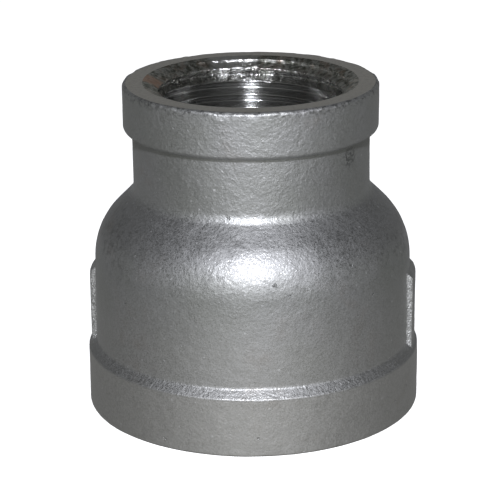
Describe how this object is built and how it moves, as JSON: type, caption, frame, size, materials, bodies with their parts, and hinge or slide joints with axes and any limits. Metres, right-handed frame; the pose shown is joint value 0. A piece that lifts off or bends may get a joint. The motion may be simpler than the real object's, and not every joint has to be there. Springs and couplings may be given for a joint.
{
  "type": "concentric reducer",
  "caption": "Banded bell reducing coupling with a female pipe thread in each end, on one axis, and two wrench ribs.",
  "frame": {"origin": "centre of the large end's face", "axes": "+Z along the bore towards the small end, +X through the right-hand wrench rib"},
  "size_m": [0.056, 0.056, 0.055],
  "materials": {
    "cast_stainless": "investment cast and bead blasted, fine grain",
    "machined_stainless": "turned and tapped, bright"
  },
  "bodies": {
    "root": {"small_end_thread": "machined_stainless", "small_end_band": "cast_stainless", "neck": "cast_stainless", "bell_shoulder": "cast_stainless", "large_barrel": "cast_stainless", "rib_right": "cast_stainless", "rib_left": "cast_stainless", "large_end_band": "cast_stainless", "large_end_thread": "machined_stainless"}
  },
  "joints": []
}
